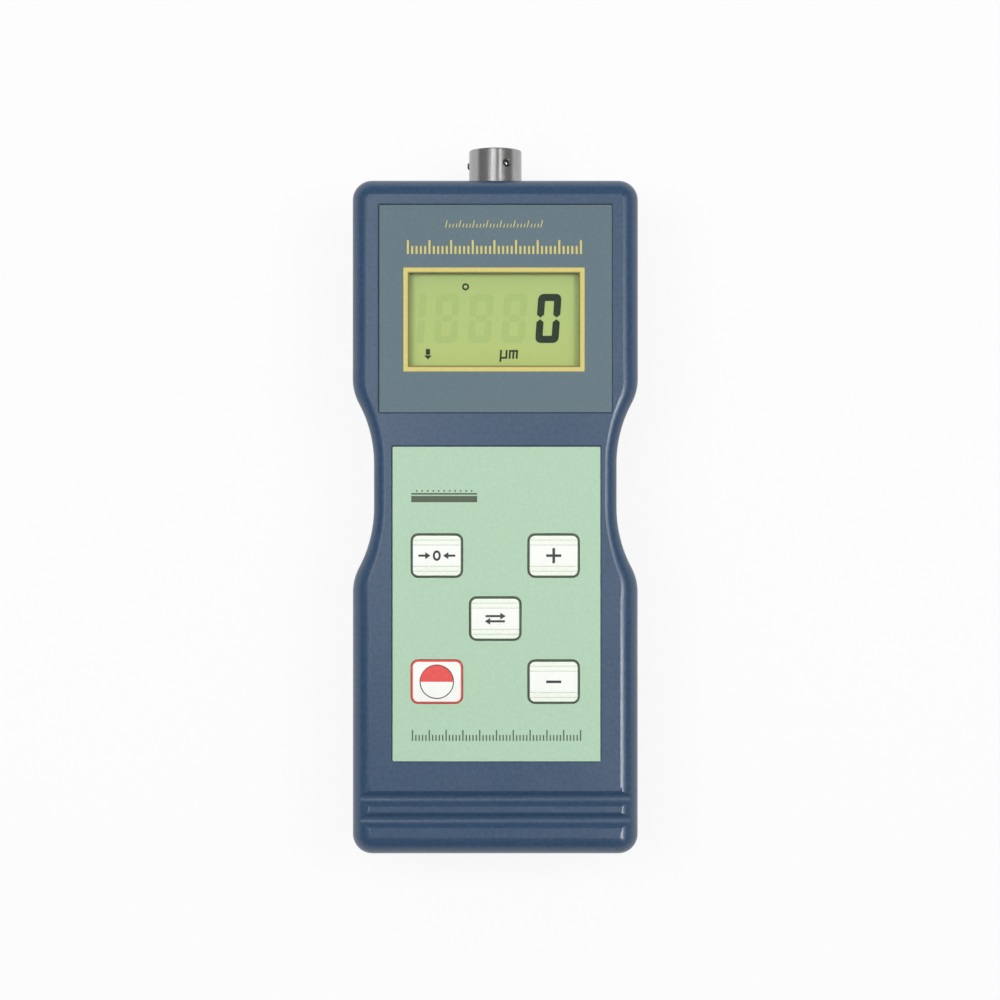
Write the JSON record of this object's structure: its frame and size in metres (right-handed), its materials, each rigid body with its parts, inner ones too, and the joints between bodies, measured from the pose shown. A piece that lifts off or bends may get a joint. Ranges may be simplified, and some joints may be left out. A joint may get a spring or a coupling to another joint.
{
  "type": "coating thickness gauge",
  "caption": "Hand-held coating thickness gauge with a waisted case, display window, printed keys, bayonet probe socket and a sliding battery door.",
  "frame": {"origin": "middle of the flat back face that it lies on", "axes": "+X right seen from the front, +Y along the case towards the probe socket, +Z out of the face"},
  "size_m": [0.069, 0.1699, 0.0323],
  "materials": {
    "case_blue": "fine spark texture",
    "screw_steel": "plated",
    "panel_grey": "satin sheet",
    "lens_clear": "polished",
    "keypad_green": "satin sheet",
    "display_green": "reflective display",
    "holder_black": "matte",
    "strip_rubber": "matte",
    "board_green": "solder mask",
    "chip_black": "matte",
    "can_steel": "satin",
    "can_blue": "sleeved",
    "socket_metal": "turned and plated",
    "pin_dark": "blackened",
    "insert_black": "matte",
    "contact_gold": "plated",
    "lead_grey": "matte",
    "lead_black": "matte",
    "lead_red": "matte",
    "key_white": "printed satin",
    "plunger_red": "matte",
    "switch_black": "matte",
    "cell_wrap": "satin sleeve",
    "spring_steel": "nickel"
  },
  "bodies": {
    "housing": {"front_cover": "case_blue", "rear_cover": "case_blue", "case_screws": "screw_steel", "board_screws": "screw_steel", "display_panel": "panel_grey", "window_lens": "lens_clear", "keypad_sheet": "keypad_green", "display_glass": "display_green", "display_holder": "holder_black", "upper_strip": "strip_rubber", "lower_strip": "strip_rubber", "main_board": "board_green", "processor_chip": "chip_black", "amplifier_chip": "chip_black", "crystal": "can_steel", "capacitor": "can_blue", "socket_shell": "socket_metal", "bayonet_pins": "pin_dark", "socket_insert": "insert_black", "socket_contacts": "contact_gold", "socket_leads": "lead_grey", "battery_lead_minus": "lead_black", "battery_lead_plus": "lead_red", "zero_switch": "switch_black", "plus_switch": "switch_black", "mode_switch": "switch_black", "power_switch": "switch_black", "minus_switch": "switch_black", "cell_1": "cell_wrap", "cell_spring_1": "spring_steel", "cell_2": "cell_wrap", "cell_spring_2": "spring_steel", "cell_3": "cell_wrap", "cell_spring_3": "spring_steel", "cell_4": "cell_wrap", "cell_spring_4": "spring_steel", "upper_contact_left": "spring_steel", "upper_contact_right": "spring_steel", "lower_contact_minus": "spring_steel", "lower_contact_bridge": "spring_steel", "lower_contact_plus": "spring_steel"},
    "zero_button": {"zero_key": "key_white", "zero_plunger": "plunger_red"},
    "plus_button": {"plus_key": "key_white", "plus_plunger": "plunger_red"},
    "mode_button": {"mode_key": "key_white", "mode_plunger": "plunger_red"},
    "power_button": {"power_key": "key_white", "power_plunger": "plunger_red"},
    "minus_button": {"minus_key": "key_white", "minus_plunger": "plunger_red"},
    "door": {"battery_door": "case_blue"}
  },
  "joints": [
    {"name": "zero_press", "type": "slide", "parent": "housing", "child": "zero_button", "axis": [0, 0, -1], "range_m": [0, 0.0006], "stiffness_N_per_m": 120, "springref_m": -0.002},
    {"name": "plus_press", "type": "slide", "parent": "housing", "child": "plus_button", "axis": [0, 0, -1], "range_m": [0, 0.0006], "stiffness_N_per_m": 120, "springref_m": -0.002},
    {"name": "mode_press", "type": "slide", "parent": "housing", "child": "mode_button", "axis": [0, 0, -1], "range_m": [0, 0.0006], "stiffness_N_per_m": 120, "springref_m": -0.002},
    {"name": "power_press", "type": "slide", "parent": "housing", "child": "power_button", "axis": [0, 0, -1], "range_m": [0, 0.0006], "stiffness_N_per_m": 120, "springref_m": -0.002},
    {"name": "minus_press", "type": "slide", "parent": "housing", "child": "minus_button", "axis": [0, 0, -1], "range_m": [0, 0.0006], "stiffness_N_per_m": 120, "springref_m": -0.002},
    {"name": "door_slide", "type": "slide", "parent": "housing", "child": "door", "axis": [0, -1, 0], "range_m": [0, 0.062]}
  ]
}
